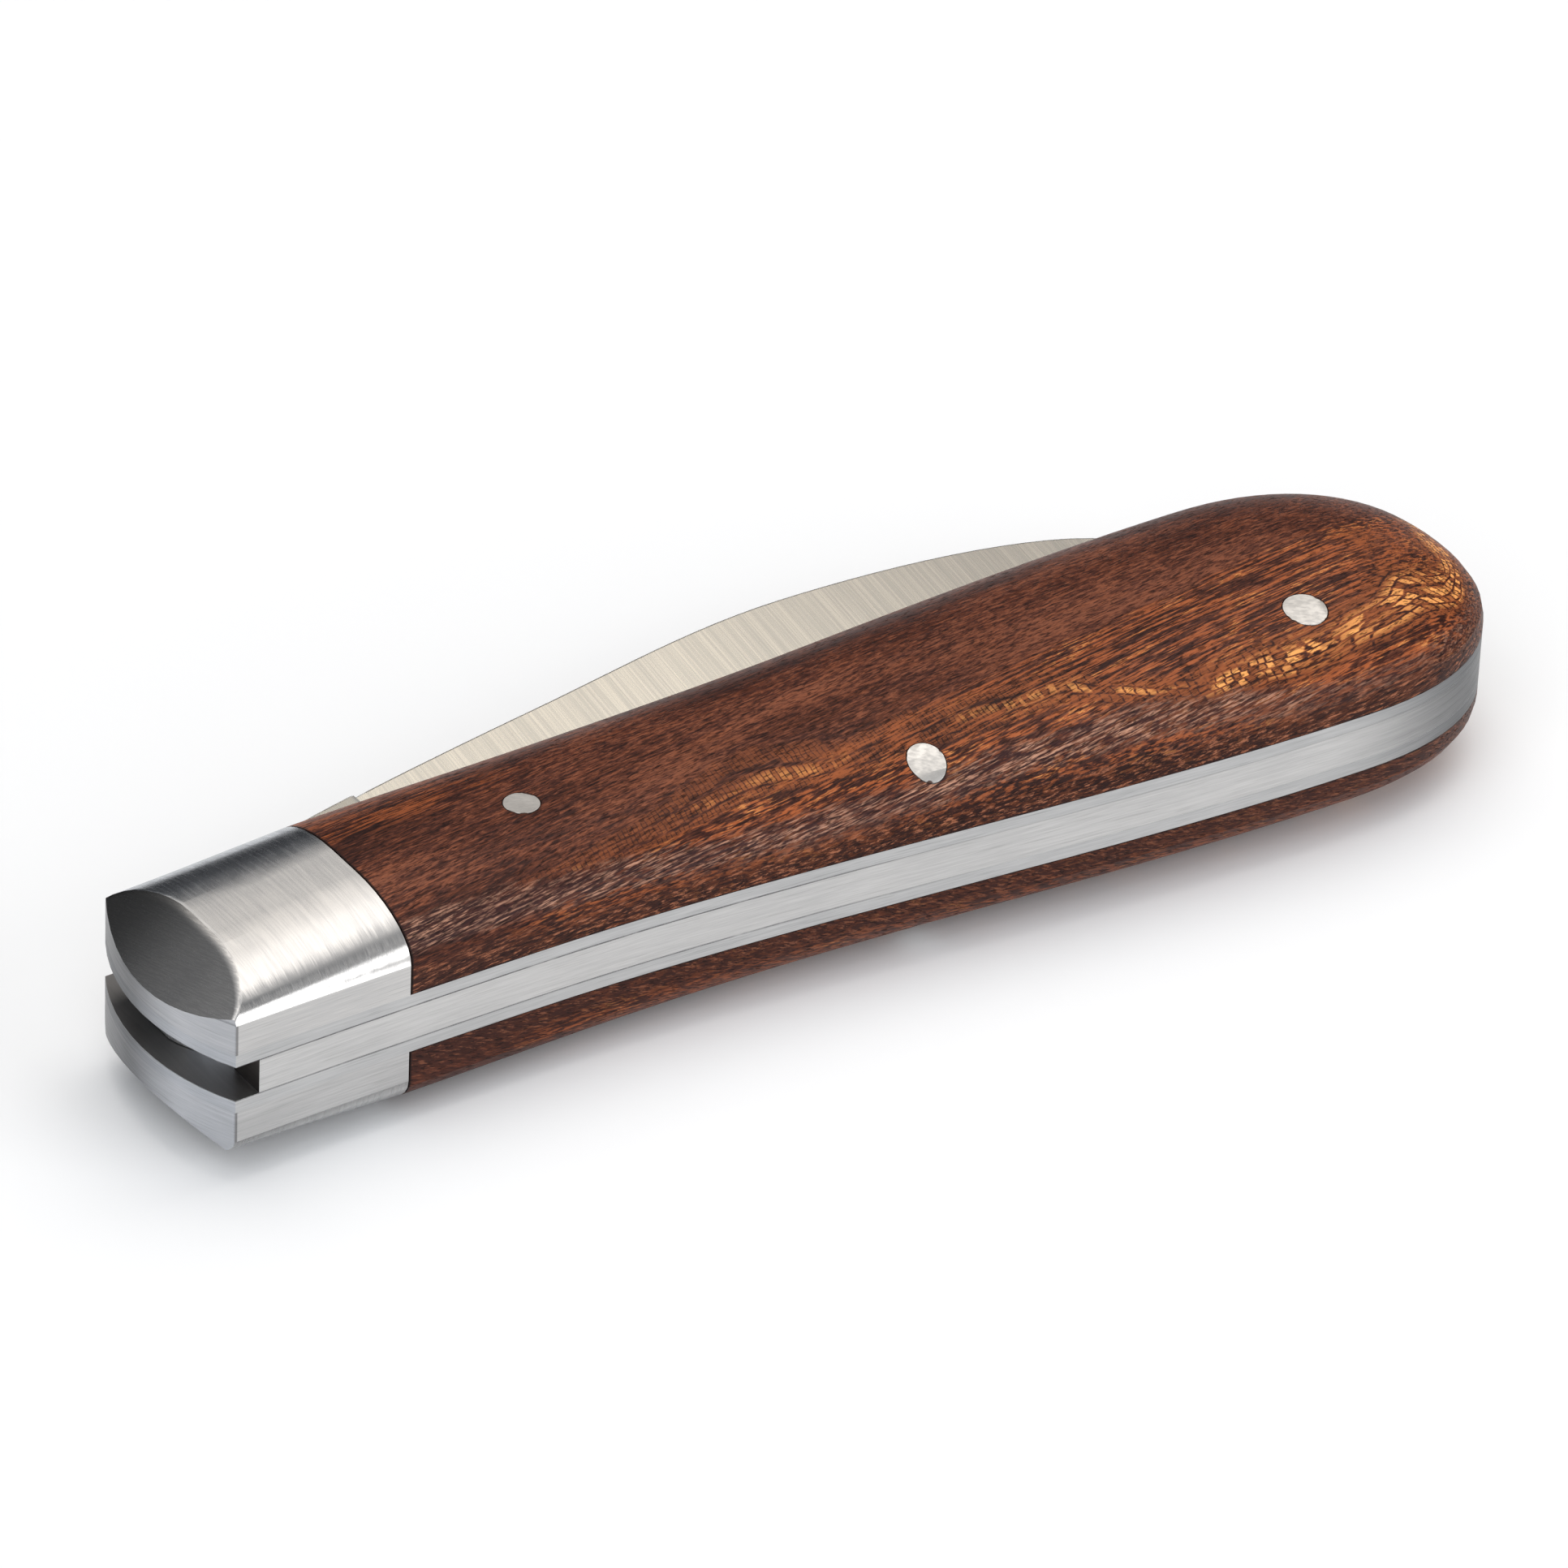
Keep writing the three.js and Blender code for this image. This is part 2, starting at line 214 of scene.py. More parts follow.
class Finish:
    def __init__(self, name):
        self.material = bpy.data.materials.new(name)
        self.material.use_nodes = True
        self.tree = self.material.node_tree
        self.shader = self.tree.nodes["Principled BSDF"]
        self.place = self.node("ShaderNodeTexCoord", output="Object")
        self.x, self.y, self.z = self.parts(self.place)
        facing = self.node("ShaderNodeTexCoord", output="Normal")
        self.facingX, self.facingY, self.facingZ = self.parts(facing)

    def node(self, kind, settings=None, sockets=None, output=0):
        made = self.tree.nodes.new(kind)
        for key, value in (settings or {}).items():
            if key == "stops":
                fillRamp(made.color_ramp, value)
            else:
                setattr(made, key, value)
        for key, value in (sockets or {}).items():
            if isinstance(value, Wire):
                self.tree.links.new(value.socket, made.inputs[key])
            else:
                made.inputs[key].default_value = value
        return Wire(self, made.outputs[output])

    def parts(self, vector):
        split = self.node("ShaderNodeSeparateXYZ", sockets={0: vector}).socket.node
        return [Wire(self, split.outputs[name]) for name in ("X", "Y", "Z")]

    def vectors(self, operation, first, second, output=0):
        return self.node("ShaderNodeVectorMath", {"operation": operation}, {0: first, 1: second}, output)

    def distance(self, first, second):
        return self.vectors("DISTANCE", first, second, "Value")

    def stretched(self, scales, turn=0.0, shift=(0.0, 0.0, 0.0), tilt=0.0):
        # the piece's own coordinates, turned, with so many pattern units per millimetre along each axis
        turned = self.node("ShaderNodeMapping", sockets={0: self.place, 2: (0, tilt, turn)})
        sized = [perMm * scale for scale in scales]
        return self.node("ShaderNodeMapping", sockets={0: turned, 1: shift, 3: sized})

    def strokes(self, brush, stroke, turn=0.0):
        # coordinates for brush strokes across the knife: the steel's brush, made finer, and drawn out
        fineness, length = stroke
        count = brush * fineness
        return self.stretched((count, count / length, count / length), turn)

    def noise(self, vector, detail, roughness):
        return self.node("ShaderNodeTexNoise", sockets={
            "Vector": vector, "Scale": 1.0, "Detail": detail, "Roughness": roughness,
        })

    def bricks(self, along, row, rungs):
        # rows of cells between darker rungs, with a level of its own in each cell
        vector = self.node("ShaderNodeCombineXYZ", sockets={0: along, 1: row})
        darkest, rung = [(level, level, level, 1) for level in (rungs["darkestCell"], rungs["level"])]
        return self.node("ShaderNodeTexBrick", {"offset": 0.3, "offset_frequency": 3}, {
            "Vector": vector, "Color1": darkest, "Color2": (1, 1, 1, 1), "Mortar": rung, "Scale": 1.0,
            "Mortar Size": rungs["width"], "Mortar Smooth": 1.0, "Brick Width": 1.0, "Row Height": 1.0,
        })

    def larger(self, first, second):
        return self.node("ShaderNodeMath", {"operation": "MAXIMUM"}, {0: first, 1: second})

    def step(self, value, low, high, fromValue=0.0, toValue=1.0, kind="SMOOTHSTEP"):
        return self.node("ShaderNodeMapRange", {"interpolation_type": kind}, {
            0: value, 1: low, 2: high, 3: fromValue, 4: toValue,
        })

    def mix(self, share, first, second, blend="MIX"):
        first = first if isinstance(first, Wire) else (*first, 1)
        second = second if isinstance(second, Wire) else (*second, 1)
        return self.node("ShaderNodeMix", {"data_type": "RGBA", "blend_type": blend}, {
            0: share, 6: first, 7: second,
        }, output=2)

    def blend(self, share, first, second):
        return self.node("ShaderNodeMix", {"data_type": "FLOAT"}, {0: share, 2: first, 3: second})

    def shaded(self, colour, share, level, tint=(1.0, 1.0, 1.0)):
        # the colour made darker, and a little tinted, over part of the piece
        tone = self.node("ShaderNodeCombineXYZ", sockets={0: level, 1: level, 2: level})
        tone = self.vectors("MULTIPLY", tone, tint)
        return self.mix(share, colour, self.mix(1.0, colour, tone, "MULTIPLY"))

    def ramp(self, value, stops):
        return self.node("ShaderNodeValToRGB", {"stops": stops}, {0: value})

    def bump(self, height):
        return self.node("ShaderNodeBump", sockets={"Height": height, "Strength": 1.0, "Distance": 1.0})

    def drive(self, **sockets):
        titles = {
            "colour": "Base Color", "roughness": "Roughness", "metallic": "Metallic",
            "normal": "Normal", "specular": "Specular IOR Level",
        }
        for name, value in sockets.items():
            socket = self.shader.inputs[titles[name]]
            if isinstance(value, Wire):
                self.tree.links.new(value.socket, socket)
            else:
                socket.default_value = value


# brushed steel of the bolsters, liners and spring
# brushes are strokes per millimetre, seams and shades run from 0 to 1, and facetEdge is the height
# of the front facet above the knife's middle at the bolsters' front corner

steels = {
    "upperBolsterSteel": {
        "pale": (0.615, 0.604, 0.590), "dull": (0.515, 0.510, 0.506), "smooth": 0.19, "rough": 0.30,
        "topBrush": 5.5, "wallBrush": 9.0, "depth": 0.0045 * mm, "seams": 0.0,
        "facetEdge": 4.85 * mm, "endShade": 0.86, "crownBrush": 1.0, "edgeShade": 1.0,
    },
    # painted shade: the lower bolster's steel is a darker copy of the upper's, and edgeShade darkens it
    # along its lower edge
    "lowerBolsterShadedSteel": {
        "pale": (0.545, 0.540, 0.535), "dull": (0.455, 0.452, 0.450), "smooth": 0.19, "rough": 0.30,
        "topBrush": 5.5, "wallBrush": 9.0, "depth": 0.0045 * mm, "seams": 0.0,
        "facetEdge": 5.4 * mm, "endShade": 0.98, "crownBrush": 0.25, "edgeShade": 0.55,
    },
    "linerSteel": {
        "pale": (0.545, 0.545, 0.545), "dull": (0.455, 0.458, 0.460), "smooth": 0.24, "rough": 0.38,
        "topBrush": 5.0, "wallBrush": 9.0, "depth": 0.0040 * mm, "seams": 0.95,
        "facetEdge": 0.0, "endShade": 0.94,
    },
    "springSteel": {
        "pale": (0.610, 0.604, 0.596), "dull": (0.515, 0.512, 0.508), "smooth": 0.24, "rough": 0.38,
        "topBrush": 5.0, "wallBrush": 10.0, "depth": 0.0040 * mm, "seams": 0.95,
        "facetEdge": 0.0, "endShade": 1.0,
    },
}
steelWearAndShade = {
    # limits of a face's normal, where it becomes a wall, the facet or a front end
    "wallFacing": (0.05, 0.3), "facetFacing": (-0.40, -0.55), "endFacing": (-0.55, -0.80),
    # strokes: how fine beside the steel's own brush, and how many times longer than wide
    "topStroke": (1.0, 25), "facetStroke": (2.0, 16), "shoulderStroke": (1.5, 45), "wallLength": 45,
    "facetTurn": -0.20,             # those of the facet run a little aslant, in radians
    "scratches": 0.35,              # how strongly scratches dull the walls
    "wallRoughness": 0.10,          # walls and facet are a little rougher
    "facetRoughness": 0.06,
    "endAcross": (-9.0 * mm, -2.5 * mm),   # painted shade: the front ends darken from the near corner to the far one
    "endFade": 0.29, "endTint": (0.95, 0.985, 1.05),
    "buttAlong": (31 * mm, 47 * mm),       # painted shade: the band is darker and a little bluer round the butt
    "buttShade": 0.25, "buttTint": (0.97, 1.0, 1.04),
}


bolsterForm = {
    "wallTop": 4.35 * mm, "crest": 6.57 * mm,     # heights above the middle of the knife
    "middle": -4.9 * mm, "halfWidth": 8.0 * mm,   # across the handle, at the front
    "crestShare": 0.18,                           # flat part of the crown
    "facetAngle": math.radians(37),
}


def crownHeight(steel):
    # height of the bolsters' round top above the middle of the knife
    form = bolsterForm
    share = abs(steel.y - form["middle"]) * (1 / form["halfWidth"]) - form["crestShare"]
    share = steel.larger(share, 0.0) * (1 / (1 - form["crestShare"]))
    rise = steel.larger(1.0 - share * share, 0.0) ** 0.5
    return (form["crest"] - form["wallTop"]) * rise + form["wallTop"]


bandSeamsAndShade = {
    "seamAlong": (-10 * mm, 6 * mm),       # the seams close towards the butt
    "seamRest": 0.2,
    "seamWidth": (0.03 * mm, 0.085 * mm),  # half a seam's width, dark and faded
    "seamSway": 0.03 * mm,
    "seam": (0.05, 0.05, 0.055),
    # the inside of the channel is rougher, with painted shade that deepens towards the far side
    "channelFacing": (0.90, 0.97), "channel": (0.42, 0.41, 0.41), "channelShare": 0.8,
    "channelShade": 0.35, "channelRoughness": 0.10, "channelEdge": (-0.01 * mm, 0.03 * mm),
    # and a painted shadow, nearly black, on the end of the spring in it
    "springFacing": (-0.80, -0.92), "springEnd": (0.060, 0.048, 0.040), "springShare": 0.92,
    "springEdge": (-0.05 * mm, -0.01 * mm),
}


def seamsAndShadedChannel(steel, seams, colour, roughness, away):
    # dark seams between the spring and the liners, broken here and there
    wearAndShade = bandSeamsAndShade
    fromMiddle = steel.fromMiddle
    sway = wearAndShade["seamSway"] * steel.noise(steel.stretched((0.8, 0.1, 0.1)), 2, 0.6)
    broken = steel.noise(steel.stretched((0.30, 0.1, 0.1)), 3, 0.65)
    dark = steel.step(abs(fromMiddle - springHalf) + sway, *wearAndShade["seamWidth"], 1.0, 0.0)
    dark = dark * steel.step(broken, 0.28, 0.46) * steel.onWall
    dark = dark * steel.step(steel.x, *wearAndShade["seamAlong"], seams, wearAndShade["seamRest"])
    colour = steel.mix(dark, colour, wearAndShade["seam"])
    # painted shade in the channel, and a painted shadow on the spring's end in it
    within = steel.step(fromMiddle, *[springHalf + margin for margin in wearAndShade["channelEdge"]], 1.0, 0.0)
    channel = steel.step(abs(steel.facingZ), *wearAndShade["channelFacing"]) * within
    colour = steel.mix(wearAndShade["channelShare"] * channel, colour, wearAndShade["channel"])
    colour = steel.shaded(colour, channel * away, wearAndShade["channelShade"])
    roughness = roughness + wearAndShade["channelRoughness"] * channel
    within = steel.step(fromMiddle, *[springHalf + margin for margin in wearAndShade["springEdge"]], 1.0, 0.0)
    springEnd = steel.step(steel.facingX, *wearAndShade["springFacing"]) * within
    colour = steel.mix(wearAndShade["springShare"] * springEnd, colour, wearAndShade["springEnd"])
    return colour, roughness


bolsterReliefAndShade = {
    "facetMiddle": -6.9 * mm,       # the oval facet is a little crowned about this line
    "facetCurve": 17.0,             # per metre
    "facetAcross": (-6.5 * mm, 1.5 * mm),  # and painted shade towards its far corner; darker too between its strokes
    "facetShade": 0.42, "strokeShade": 0.84,
    "rimDrop": 0.17 * mm,           # how far below the facet's plane the soft rim round it reaches
    "rimInside": 0.35 * mm,         # and how far below the crown it reaches on the facet
    "rimLean": 0.24, "insideLean": 0.275,
    "lipHeight": 0.50 * mm,         # the walls' upper edge leans in a little more than the plain form
    "lipLean": 0.19,
    # a painted dark reflection band, with frayed edges, along the near shoulder, in limits of the normal
    "shoulderUpper": (-0.34, -0.50), "shoulderLower": (-0.70, -0.56), "shoulderFray": 0.26,
    "shoulderFade": 15 * mm, "shoulderRest": 0.75,
    "shoulderShade": 0.48, "shoulderTint": (0.98, 1.0, 1.03),
    "farFacing": (-0.08, 0.20), "farShade": 0.88, "farTint": (0.93, 0.99, 1.07),   # painted reflection: a cooler, darker far side
    "cornerAway": 0.07 * mm,        # a dark line just behind the walls' front corner
    "cornerWidth": (0.04 * mm, 0.13 * mm), "cornerShare": 0.7, "corner": (0.10, 0.10, 0.105),
}


def rubbedEdges(steel, look, relief, onCrown, lip):
    # the facet's slight crown, the soft rim on both sides of its edge, and the walls' upper edge
    wearAndShade = bolsterReliefAndShade
    relief = relief * steel.blend(steel.onWall, look["crownBrush"], 1.0)
    across = steel.y - wearAndShade["facetMiddle"]
    relief = relief - 0.5 * wearAndShade["facetCurve"] * across * across * steel.onFacet
    plane = (steel.x - cornerX) * math.tan(bolsterForm["facetAngle"]) + look["facetEdge"]
    drop = steel.larger(wearAndShade["rimDrop"] - (plane - steel.fromMiddle), 0.0) * onCrown
    relief = relief - drop * drop * (wearAndShade["rimLean"] / wearAndShade["rimDrop"])
    below = crownHeight(steel) - steel.fromMiddle
    inner = steel.larger(wearAndShade["rimInside"] - below, 0.0) * steel.onFacet
    relief = relief - inner * inner * (wearAndShade["insideLean"] / wearAndShade["rimInside"])
    lean = look["crownBrush"] * wearAndShade["lipLean"]
    return relief + wearAndShade["lipHeight"] * lean * lip * lip * (1.0 - steel.onFacet)


def bolsterShades(steel, look, colour, top, onCrown, lip):
    wearAndShade = bolsterReliefAndShade
    # painted shade just above the walls' edge, darkened on the lower bolster only
    colour = steel.shaded(colour, lip * onCrown, look["edgeShade"])
    # painted shade towards the facet's far corner
    farther = steel.step(steel.y, *wearAndShade["facetAcross"])
    colour = steel.shaded(colour, steel.onFacet * farther, wearAndShade["facetShade"])
    colour = steel.shaded(colour, steel.onFacet * steel.step(top, 0.58, 0.44), wearAndShade["strokeShade"])
    # painted reflection: a dark band along the near shoulder, its edges frayed by the strokes
    fine = steel.noise(steel.strokes(look["topBrush"], steelWearAndShade["shoulderStroke"]), 4, 0.75)
    brushed = steel.facingY + wearAndShade["shoulderFray"] * (fine - 0.5)
    shoulder = steel.step(brushed, *wearAndShade["shoulderUpper"]) * steel.step(brushed, *wearAndShade["shoulderLower"])
    shoulder = shoulder * (1.0 - steel.onWall)
    rearEnd = cornerX + wearAndShade["shoulderFade"]
    shoulder = shoulder * steel.step(steel.x, cornerX, rearEnd, 1.0, wearAndShade["shoulderRest"])
    colour = steel.shaded(colour, shoulder, wearAndShade["shoulderShade"], wearAndShade["shoulderTint"])
    # painted reflection: the crown's far side is cooler and darker
    farSide = steel.step(steel.facingY, *wearAndShade["farFacing"]) * onCrown
    colour = steel.shaded(colour, farSide, wearAndShade["farShade"], wearAndShade["farTint"])
    fromCorner = abs(steel.x - cornerX - wearAndShade["cornerAway"])
    corner = steel.step(fromCorner, *wearAndShade["cornerWidth"], wearAndShade["cornerShare"], 0.0) * steel.onWall
    return steel.mix(corner, colour, wearAndShade["corner"])


def brushedSteel(name, look):
    steel = Finish(name)
    wearAndShade = steelWearAndShade
    steel.onWall = steel.step(abs(steel.facingZ), *wearAndShade["wallFacing"], 1.0, 0.0)
    steel.onFacet = steel.step(steel.facingX, *wearAndShade["facetFacing"]) * (1.0 - steel.onWall)
    steel.fromMiddle = abs(steel.z - midHeight)
    top = steel.noise(steel.strokes(look["topBrush"], wearAndShade["topStroke"]), 4, 0.7)
    if look["facetEdge"]:
        facetStrokes = steel.strokes(look["topBrush"], wearAndShade["facetStroke"], wearAndShade["facetTurn"])
        top = steel.blend(steel.onFacet, top, steel.noise(facetStrokes, 4, 0.75))
    wallCount = look["wallBrush"]
    wallAlong = wallCount / wearAndShade["wallLength"]
    wall = steel.noise(steel.stretched((wallAlong, wallAlong, wallCount)), 4, 0.7)
    height = steel.blend(steel.onWall, top, wall)
    broad = steel.noise(steel.stretched((0.12, 0.3, 0.3)), 2, 0.5)
    colour = steel.mix(steel.step(height + 0.4 * broad, 0.50, 0.92), look["dull"], look["pale"])
    scratch = steel.noise(steel.stretched((0.25, 0.25, 16.0)), 2, 0.5)
    scratched = wearAndShade["scratches"] * steel.onWall * steel.step(scratch, 0.60, 0.68)
    colour = steel.mix(scratched, colour, look["dull"], "MULTIPLY")
    # painted shade: the front ends are darker and a little bluer, more so away from the near corner
    onEnd = steel.step(steel.facingX, *wearAndShade["endFacing"]) * steel.onWall
    away = steel.step(steel.y, *wearAndShade["endAcross"])
    dim = steel.blend(away, look["endShade"], wearAndShade["endFade"] * look["endShade"])
    colour = steel.shaded(colour, onEnd, dim, wearAndShade["endTint"])
    # painted shade round the butt
    onButt = steel.step(steel.x, *wearAndShade["buttAlong"]) * steel.onWall
    colour = steel.shaded(colour, onButt, wearAndShade["buttShade"], wearAndShade["buttTint"])
    roughness = steel.step(height, 0.25, 0.75, look["rough"], look["smooth"])
    roughness = roughness + wearAndShade["wallRoughness"] * steel.onWall
    relief = look["depth"] * height
    if look["seams"]:
        colour, roughness = seamsAndShadedChannel(steel, look["seams"], colour, roughness, away)
    if look["facetEdge"]:
        onCrown = (1.0 - steel.onWall) * (1.0 - steel.onFacet)
        aboveWall = steel.fromMiddle - bolsterForm["wallTop"]
        lip = steel.step(aboveWall, 0.0, bolsterReliefAndShade["lipHeight"], 1.0, 0.0, "LINEAR")
        relief = rubbedEdges(steel, look, relief, onCrown, lip)
        colour = bolsterShades(steel, look, colour, top, onCrown, lip)
        roughness = roughness + wearAndShade["facetRoughness"] * steel.onFacet
    steel.drive(colour=colour, roughness=roughness, metallic=1.0, normal=steel.bump(relief))
    return steel.material


bladeLook = {
    "pale": (0.86, 0.812, 0.712), "dull": (0.68, 0.652, 0.590), "smooth": 0.20, "rough": 0.32,
    # painted shade: the spine is a darker blue-grey, and so, in part, are the eased edges: limits of the
    # normal
    "spine": (0.40, 0.42, 0.45), "spineFacing": (0.1, 0.5),
    "edgeShare": 0.6, "edgeFacing": (0.55, 0.97),
    "grind": 3.6, "grindTurn": 0.10,                       # strokes per millimetre, and their slant
    "fineStroke": (2.2, 132), "coarseStroke": (0.4, 36),   # as those of steelWearAndShade
    "fineShare": 0.72,
    "depth": 0.0028 * mm,
    "plungeX": 22.4 * mm,           # the plunge line, behind the bolsters' front corner
    "plungeWidth": (0.05 * mm, 0.45 * mm), "plungeShare": 0.55, "plungeStep": 0.3 * mm,
    "unground": 0.35,               # in front of it, the strokes have this share of their depth
    # painted shade: the blade darkens towards its tip
    "tipAlong": (0.0, 26 * mm), "tipShade": 0.62, "tipTint": (1.0, 1.0, 1.02),
    # the end of the tang is left as it was forged
    "tang": (0.62, 0.61, 0.60), "tangEnd": (0.7 * mm, 0.3 * mm), "tangDepth": 0.08 * mm,
    "tangRoughness": 0.3,
}


def bladeSteel():
    steel = Finish("bladeSteel")
    look = bladeLook
    fine = steel.noise(steel.strokes(look["grind"], look["fineStroke"], look["grindTurn"]), 2, 0.6)
    coarse = steel.noise(steel.strokes(look["grind"], look["coarseStroke"], look["grindTurn"]), 2, 0.5)
    along = steel.noise(steel.stretched((0.3, 0.3, 12.0)), 3, 0.6)
    onSpine = steel.step(abs(steel.facingZ), *look["spineFacing"], 1.0, 0.0)
    rounded = steel.step(abs(steel.facingZ), *look["edgeFacing"], 1.0, 0.0)
    plunge = cornerX + look["plungeX"]
    ground = steel.step(steel.x, plunge - look["plungeStep"], plunge)
    height = steel.blend(onSpine, look["fineShare"] * fine + (1 - look["fineShare"]) * coarse, along)
    colour = steel.mix(steel.step(height, 0.26, 0.70), look["dull"], look["pale"])
    towardsTip = steel.step(steel.x, *look["tipAlong"], kind="LINEAR")
    colour = steel.shaded(colour, towardsTip, look["tipShade"], look["tipTint"])
    plungeLine = steel.step(abs(steel.x - plunge), *look["plungeWidth"], look["plungeShare"], 0.0)
    grey = steel.larger(onSpine, look["edgeShare"] * rounded) + plungeLine
    colour = steel.mix(grey, colour, look["spine"])
    forged = steel.noise(steel.stretched((2.2, 2.2, 2.2)), 3, 0.6)
    onTang = steel.step(steel.x, *[cornerX + place for place in look["tangEnd"]])
    colour = steel.mix(onTang * steel.step(forged, 0.35, 0.65), colour, look["tang"])
    roughness = steel.step(height, 0.3, 0.7, look["rough"], look["smooth"])
    roughness = roughness + look["tangRoughness"] * onTang
    groundShare = look["unground"] + (1 - look["unground"]) * ground
    relief = look["depth"] * height * groundShare + look["tangDepth"] * forged * onTang
    steel.drive(colour=colour, roughness=roughness, metallic=1.0, normal=steel.bump(relief))
    return steel.material


pinLook = {
    "pale": (0.60, 0.583, 0.560), "dull": (0.50, 0.488, 0.472), "smooth": 0.30, "rough": 0.44,
    "dentDepth": 0.05 * mm, "scuffDepth": 0.003 * mm,
    # the rim is not quite round: dust and oil fill small chips in it
    "filler": (0.060, 0.030, 0.022), "chip": 0.13 * mm,
    "rim": (-0.02 * mm, 0.03 * mm), "fillerEnd": (0.1 * mm, 0.2 * mm),   # measured from the pin's radius
}


def pinSteel(pinPlaces):
    steel = Finish("pinSteel")
    look = pinLook
    scuffs = steel.noise(steel.stretched((2.0, 5.0, 2.0), 0.5), 3, 0.6)
    dents = steel.noise(steel.stretched((0.5, 0.5, 0.5)), 1, 0.5)
    colour = steel.mix(steel.step(scuffs, 0.35, 0.65), look["dull"], look["pale"])
    chips = steel.noise(steel.stretched((0.9, 0.9, 0.9)), 2, 0.55)
    flat = steel.node("ShaderNodeCombineXYZ", sockets={0: steel.x, 1: steel.y})
    filled = 0.0
    for place, radius in pinPlaces:
        away = steel.distance(flat, (place.x, place.y, 0))
        inward = away + look["chip"] * steel.step(chips, 0.50, 0.70)
        inside = steel.step(away, *[radius + width for width in look["fillerEnd"]], 1.0, 0.0)
        filled = steel.step(inward, *[radius + width for width in look["rim"]]) * inside + filled
    colour = steel.mix(filled, colour, look["filler"])
    roughness = steel.step(scuffs, 0.3, 0.7, look["rough"], look["smooth"])
    relief = look["dentDepth"] * dents + look["scuffDepth"] * scuffs
    steel.drive(colour=colour, roughness=roughness, metallic=1.0 - filled, normal=steel.bump(relief))
    return steel.material


# the scales' hardwood: interlocked grain cut at a slant, with gold flecks on the slopes
# tone makes the ground paler, and silk is how much of the strip of painted sheen shows

scaleLooks = {
    "upperWood": {
        "upper": True, "shift": (0.0, 0.0, 0.0), "tilt": 0.10,
        "tone": 0.036, "silk": 1.0, "hazelShare": 0.70, "shadedBrownShare": 0.0,
    },
    # painted shade: the lower scale is a darker, browner copy of the same wood, with less painted sheen and
    # fewer hazel hairs
    "lowerShadedWood": {
        "upper": False, "shift": (7.0, 3.0, 11.0), "tilt": -0.30,
        "tone": -0.010, "silk": 0.2, "hazelShare": 0.38, "shadedBrownShare": 0.25,
    },
}
woodLook = {
    "deep": (0.020, 0.0050, 0.0036),
    "brown": (0.083, 0.0232, 0.0136),
    "fawn": (0.238, 0.079, 0.040),
    "orange": (0.45, 0.120, 0.036),
    "gold": (0.92, 0.40, 0.115),
    "amber": (0.34, 0.095, 0.028),
    "ash": (0.54, 0.285, 0.190),
    "hazel": (0.47, 0.175, 0.090),
    "plum": (0.036, 0.015, 0.016),
    "pore": (0.010, 0.004, 0.0035),
    "grainTurn": -0.145,            # the grain runs this far from the handle's length, in radians
    "silkTurn": 0.4,                # and the silky strands this share of it
    "sway": 0.4 * mm,
    "fibreDepth": 0.010 * mm, "poreDepth": 0.012 * mm,
    "roughness": 0.36, "shine": 0.14,
    # orange lines: everywhere, on the near side and by the bolster's far edge
    "lineShare": 0.12, "nearLines": 0.64, "farLines": 0.46, "sparkShare": 0.5, "gapShare": 0.44,
    "linesAcross": (-7.95 * mm, -8.95 * mm),      # across the grain, where the near side's begin
    "farLinesX": (-18 * mm, -28 * mm), "farLinesY": (-2.9 * mm, -1.3 * mm),
    "poreShare": 0.62,
    # the lowest part of the slopes is dark, with hazel hairs
    "lowest": (12.4 * mm, 10.6 * mm), "lowestShare": 0.80,
    # dark, slightly chipped joints with the bolster, the pins and the liner
    "chip": 0.10 * mm, "jointChip": 2.5, "rimShare": 0.9,
    "bolsterRim": (0.05 * mm, 0.16 * mm), "pinRim": 0.10 * mm, "linerRim": (0.02 * mm, 0.14 * mm),
}
# the patterns of the grain: counts per millimetre along, across and up, detail, roughness
grainPatterns = {
    "drift": ((0.045, 0.12, 0.12), 1, 0.5),
    "fibres": ((0.62, 4.8, 5.4), 4, 0.72),
    "hairs": ((1.5, 8.5, 9.0), 2, 0.6),
    "clouds": ((0.05, 0.22, 0.35), 3, 0.55),
    "lines": ((0.18, 4.8, 6.0), 2, 0.6),
    "pores": ((1.3, 7.0, 7.5), 1, 0.5),
    "patches": ((0.22, 0.60, 0.8), 3, 0.6),
    "wave": ((0.10, 0.25, 0.3), 1, 0.5),
    "wobble": ((0.7, 1.2, 2.0), 2, 0.6),
    "strands": ((0.50, 6.5, 8.0), 3, 0.66),
}


